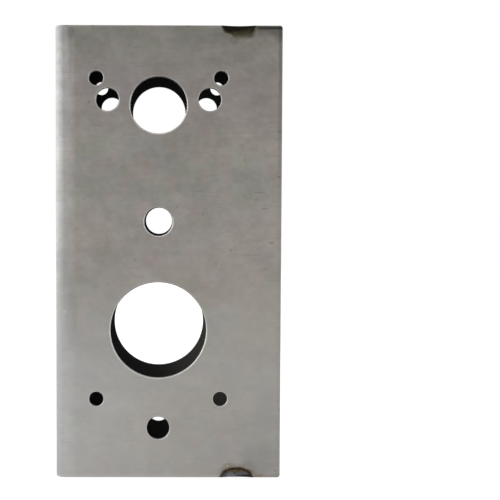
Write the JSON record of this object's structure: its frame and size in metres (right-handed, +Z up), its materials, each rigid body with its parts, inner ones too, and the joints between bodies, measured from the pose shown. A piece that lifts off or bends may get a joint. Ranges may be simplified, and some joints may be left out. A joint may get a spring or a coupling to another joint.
{
  "type": "rim keeper box",
  "caption": "Hollow weld-in steel lock box: folded shell with matching round holes through both broad faces, and a set-back edge plate with a long slot and tapped holes.",
  "frame": {"origin": "middle of the bottom end of the box", "axes": "+Z up, -Y out of the punched front face, +X out of the open edge with the slotted plate, -X out of the folded edge"},
  "size_m": [0.127, 0.0444, 0.254],
  "materials": {
    "shell_steel": "raw mill finish, satin",
    "channel_steel": "raw mill finish, satin",
    "weld_metal": "ground and heat-blued"
  },
  "bodies": {
    "root": {"outer_shell": "shell_steel", "face_channel": "channel_steel", "tack_weld_top_front": "weld_metal", "tack_weld_bottom_front": "weld_metal", "tack_weld_top_back": "weld_metal", "tack_weld_bottom_back": "weld_metal"}
  },
  "joints": []
}
